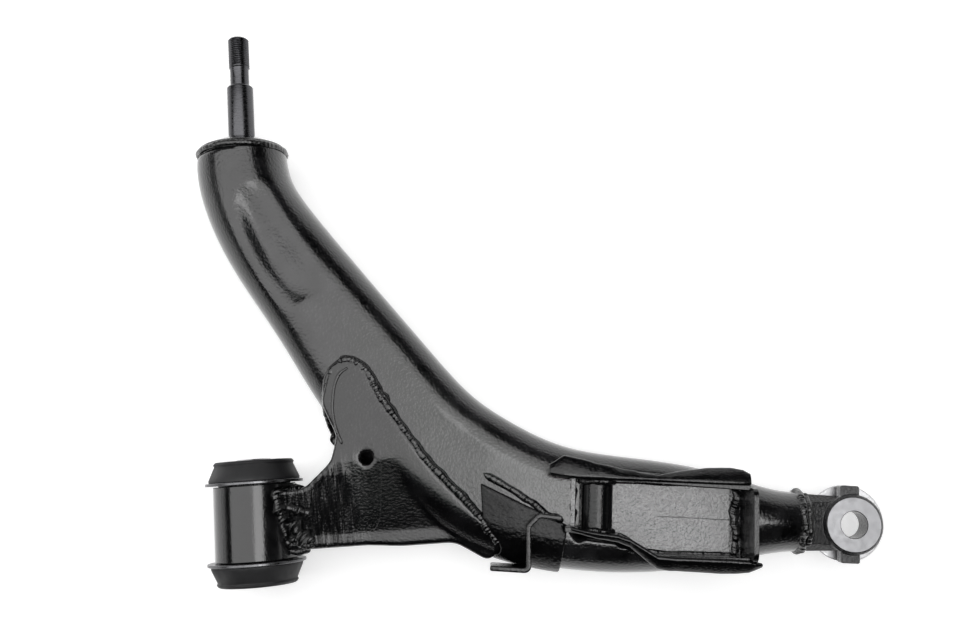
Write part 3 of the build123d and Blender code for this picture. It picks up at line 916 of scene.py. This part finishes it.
def bead(name, points, half_width, height, pitch=2.2, rough=0.18, seed=0, closed=False, taper=True,
         finish=None):
    """A weld laid along points: overlapping crescents, each a little unlike the last."""
    step = 0.45 * MM
    path = smooth_path(points, step, closed)
    total = len(path)
    half_width = half_width * MM
    height = height * MM
    rings = []
    for i, (place, normal) in enumerate(path):
        ahead = (path[min(i + 1, total - 1)][0] - path[max(i - 1, 0)][0]).normalized()
        across = ahead.cross(normal).normalized()
        along = i * step
        phase = (along / (pitch * MM)) % 1.0
        crest = 1.0 - 0.24 * phase
        drift = noise.noise(Vector((along * 220, seed * 7.3, 1.5)))
        lump = noise.noise(Vector((along * 700, seed * 3.1, 8.5)))
        end = 1.0
        if taper and not closed:
            end = min(1.0, (i + 0.6) * step / half_width, (total - i - 0.4) * step / half_width) ** 0.5
        wide = half_width * end * (0.92 + 0.12 * crest) * (1 + rough * drift)
        tall = height * end * crest * (1 + rough * (drift + lump))
        sway = across * (rough * half_width * 1.2 * noise.noise(Vector((along * 120, seed, 4.0))))
        ring = []
        for k in range(12):
            turn = 2 * math.pi * k / 12
            lift = math.sin(turn)
            back = ahead * (-0.55 * half_width * max(0.0, lift))
            bottom = 0.45 if lift < 0 else 1.0
            round_it = across * (wide * math.cos(turn)) + normal * (tall * lift * bottom)
            ring.append(place + sway + back + round_it)
        rings.append(ring)
    piece = drawn_piece(name, rings)
    return dress(piece, finish or weld_paint)


def top_of(tree, x, y, above=0.0):
    """The first surface met on the way down at x, y, in millimetres."""
    hit = tree.ray_cast(Vector((x * MM, y * MM, 0.2)), Vector((0, 0, -1)))
    height = hit[0].z if hit[0] is not None else 0.0
    normal = hit[1] if hit[1] is not None else UP
    return Vector((x * MM, y * MM, height + above * MM)), normal.lerp(UP, 0.5).normalized()


print("bead helper ready")

# %% [markdown]
# ## Welds of the tongue
# The tongue is welded to the tube all round. A robot lays these beads, so most ripple evenly, but
# the short ones at the ends wander. Each bead follows the surface it lies on, found by a ray sent
# down. Two thin lines beside them are a pressed ridge and a run of paint.

# %% Tongue welds
branch_tree = node_tree("branch_upper_shell")


def on_tube(points, above=0.6):
    return [top_of(tube_tree, x, y, above) for x, y in points]


HOLE_LINE = [(93, 40.5), (97, 36), (96.5, 24), (95, 8), (93, -4), (88, -12)]
TONGUE_LEFT = [(65.5, 49), (61, 62), (58.3, 76), (60, 92), (64.5, 104), (74.5, 112.3)]
TONGUE_RIGHT = [(70, 110.5), (80, 111.5), (90, 102.5), (97.1, 87), (110, 67), (123.5, 45), (135.4, 28.8),
                (152, 10.4), (164.4, -6.5), (174.6, -22.8), (178.5, -29)]
bead("tongue_weld_left", on_tube(TONGUE_LEFT, 0.4), 3.4, 3.4, pitch=5.5, rough=0.1, seed=1)
bead("tongue_weld_right", on_tube(TONGUE_RIGHT, 0.6), 3.5, 3.4, pitch=2.3, rough=0.3, seed=2)
bead("tongue_weld_upper", on_tube([(78, 112), (88, 105.5), (95.5, 92), (104, 78)], 0.6), 3.8, 2.8, pitch=1.9,
     rough=0.45, seed=3)
bead("tongue_inner_ridge", [top_of(branch_tree, x, y, 0.0) for x, y in
                           [(70, 52), (66.5, 62), (64.5, 76), (66, 90), (70, 101), (77, 106)]],
     1.1, 0.8, pitch=6.0, rough=0.2, seed=31)
bead("branch_drip_line", [top_of(branch_tree, x, y, 0.0) for x, y in HOLE_LINE], 0.5, 0.35, pitch=8.0,
     rough=0.2, seed=32)
bead("notch_weld", on_tube([(60, 60), (63.5, 53.5), (70, 50)], 1.6), 2.8, 2.6, rough=0.5, seed=4)
print("tongue welded")

# %% [markdown]
# ## Round welds
# The cap, the root of the stud and the neck are each welded in a circle. Points round an axis, with
# normals that look outwards, guide the same bead. The neck gets a second short run over the first.

# %% Round welds
def ring_points(centre, axis, first_side, radius, count=24, start=0.0, end=360.0):
    """Points round an axis, with outward normals."""
    second = axis.cross(first_side).normalized()
    points = []
    closed = end - start >= 360.0
    for i in range(count + (0 if closed else 1)):
        turn = math.radians(start + (end - start) * i / count)
        outward = first_side * math.cos(turn) + second * math.sin(turn)
        points.append((centre + outward * (radius * MM), outward))
    return points


cap_points = ring_points(Vector((0, 279.6 * MM, 0)), Vector((0, 1, 0)), Vector((1, 0, 0)), 33.6)
cap_weld = bead("cap_weld_ripple", cap_points, 2.1, 1.5, pitch=2.4, rough=0.25, seed=5, closed=True)
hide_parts("stud_cap_weld")
root_points = ring_points(Vector((0, 291.1 * MM, 0)), Vector((0, 1, 0)), Vector((1, 0, 0)), 10.6)
bead("stud_root_fillet", root_points, 1.3, 0.8, pitch=2.6, rough=0.1, seed=6, closed=True)
neck_points = ring_points(run_point(-37.0, 0), RUN_DIRECTION, RUN_LEFT, 20.6)
neck_weld = bead("neck_weld_ripple", neck_points, 3.2, 3.2, pitch=3.4, rough=0.35, seed=7, closed=True)
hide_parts("neck_weld")
second_points = ring_points(run_point(-32.5, 0), RUN_DIRECTION, RUN_LEFT, 19.0, start=-10.0, end=150.0)
bead("neck_weld_second", second_points, 2.3, 2.4, pitch=3.0, rough=0.4, seed=8)
print("cap, stud root and neck welded")

# %% [markdown]
# ## Welds of the bush housing
# The branch ends against a round barrel, so this bead has to follow a saddle line on it. Its points
# are given as a place along the barrel and a height, and are put on the round by their radius.

# %% Housing welds
def on_housing(y, z):
    outward = Vector((math.sqrt(max(30.0 ** 2 - z ** 2, 0.0)), 0, z)).normalized()
    return outward * (30.2 * MM) + Vector((0, y * MM, 0)), outward


HOUSING_LOOP = [(20.5, -16), (22, -6), (22.5, 6), (21.5, 16), (18, 21.5), (8, 20.5), (-3, 18.5), (-13, 16),
                (-20, 12), (-22.5, 3), (-22, -8), (-20, -16)]
bead("housing_weld", [on_housing(y, z) for y, z in HOUSING_LOOP], 3.0, 2.6, pitch=2.3, rough=0.45, seed=9)
bead("housing_weld_upper", [on_housing(y, z) for y, z in HOUSING_LOOP[3:8]], 3.8, 3.4, pitch=3.1,
     rough=0.6, seed=10)
print("housing welded")

# %% [markdown]
# ## Welds in the channel
# The floor plate is welded to the walls by thin seams and to the end plate by a thick, uneven one.
# The sleeve has a bead part of the way round each end. All are placed on the outer run's own axes.

# %% Channel welds
def on_run(points):
    return [(run_point(u, v, z), UP) for u, v, z in points]


FLOOR_END = [(-85, -23, 12), (-84, -10, 12.3), (-85.5, 2, 12), (-84, 14, 12), (-86, 23, 12)]
bead("floor_end_weld", on_run(FLOOR_END), 3.6, 2.8, pitch=2.2, rough=0.6, seed=11)
bead("floor_front_seam", on_run([(-196, 24, 12), (-150, 24, 12), (-86, 23.8, 12)]),
     1.7, 1.7, rough=0.35, seed=12)
bead("floor_rear_seam", on_run([(-168, -13.5, 12), (-146, -24.8, 12), (-110, -25, 12), (-86, -24.8, 12)]),
     1.7, 1.7, rough=0.35, seed=13)
sleeve_height = 23.0
for index, (v, low, high) in enumerate(((-11.4, -20.0, 200.0), (23.6, -20.0, 200.0))):
    sleeve_end = run_point(-185.5, v, sleeve_height)
    foot = ring_points(sleeve_end, RUN_LEFT, -RUN_DIRECTION, 11.2, start=low, end=high)
    bead("sleeve_foot_%d" % index, foot, 2.4, 2.2, rough=0.5, seed=14 + index)
print("channel welded")

# %% [markdown]
# ## Short welds laid by hand
# The gusset, the corners where the branch meets the housing and the foot of the bracket have short
# thick runs. They use the same bead with more roughness, because a hand wanders more than a robot.

# %% Short welds
def facing_up(points):
    """Points given in millimetres in the arm's own frame, with a normal straight up."""
    return [(Vector(point) * MM, UP) for point in points]


gusset_points = []
for u, v in ((-266, 25), (-252, 18), (-241, 12), (-232, 6), (-220, -1), (-209, -5.5)):
    spot = run_point(u, v)
    gusset_points.append(top_of(tube_tree, spot.x / MM, spot.y / MM, 0.4))
bead("gusset_weld", gusset_points, 2.7, 2.2, pitch=2.4, rough=0.4, seed=16)
for index, points in enumerate((
    [(27, -20.5, 12.5), (34, -22, 13), (42, -22.5, 14)],
    [(27, 20, 17), (33, 22, 16), (40, 22.5, 14)],
    [(29, -14, 18), (37, -17, 17.5), (46, -19, 17)],
)):
    bead("branch_root_%d" % index, facing_up(points), 3.4, 3.6, rough=0.7, seed=17 + index)
bead("housing_weld_root", facing_up([(28, -4, 22), (33, -8, 21), (39, -12, 19.5), (45, -17, 18)]),
     5.0, 3.6, pitch=3.4, rough=0.9, seed=40)
bead("housing_weld_throat", facing_up([(27, 9, 24), (33, 8, 24.5), (40, 5, 24.5), (46, 4, 24)]),
     3.4, 2.6, pitch=2.8, rough=0.8, seed=41)
strip_foot = []
for x, y in ((198, -30), (199, -20), (202, -9), (209, -8)):
    strip_foot.append(top_of(tube_tree, x, y, 0.2))
bead("strip_foot_weld", strip_foot, 3.0, 2.0, pitch=2.4, rough=0.6, seed=42)
print("gusset, branch root and bracket welded")

# %% [markdown]
# ## Machined eye
# The top of the eye is faced by a cutter after painting, which leaves a bright flat ring. Its
# section has six corners with two small chamfers, and is spun about the eye's axis.

# %% Eye ring
def flat_ring(name, centre, inner, outer, low, high, finish):
    bm = bmesh.new()
    corners = ((inner, low), (outer, low), (outer, high - 0.12), (outer - 0.12, high), (inner + 0.3, high),
               (inner, high - 0.3))
    start = bmesh.ops.create_circle(bm, cap_ends=False, segments=len(corners), radius=1.0)["verts"]
    for vertex, (radius, height) in zip(start, corners):
        vertex.co = centre + Vector((radius * MM, 0, height * MM))
    edges = list({edge for vertex in start for edge in vertex.link_edges})
    bmesh.ops.spin(bm, geom=start + edges, cent=centre, axis=(0, 0, 1), angle=2 * math.pi, steps=96,
                   use_merge=True, use_duplicate=False)
    bmesh.ops.recalc_face_normals(bm, faces=bm.faces)
    piece = finish_mesh(name, bm)
    smooth_faces(piece, 30.0)
    return dress(piece, finish)


flat_ring("eye_machined_face", EYE, 9.75, 19.3, 13.5, 15.1, faced_steel)
print("eye ring faced")

# %% [markdown]
# ## Scribed line
# The line on the channel floor is a locating mark. It is laid as a very low, very thin bead, so it
# shows as a fine edge without cutting the plate.

# %% Scribed line
scribe = [(run_point(u, 0.2 - 0.6 * (u + 141) / 58, 12.02), UP) for u in range(-141, -82, 8)]
bead("floor_scribe", scribe, 0.3, 0.12, pitch=9.0, rough=0.0, seed=20, finish=mark_paint)
print("scribed line laid")
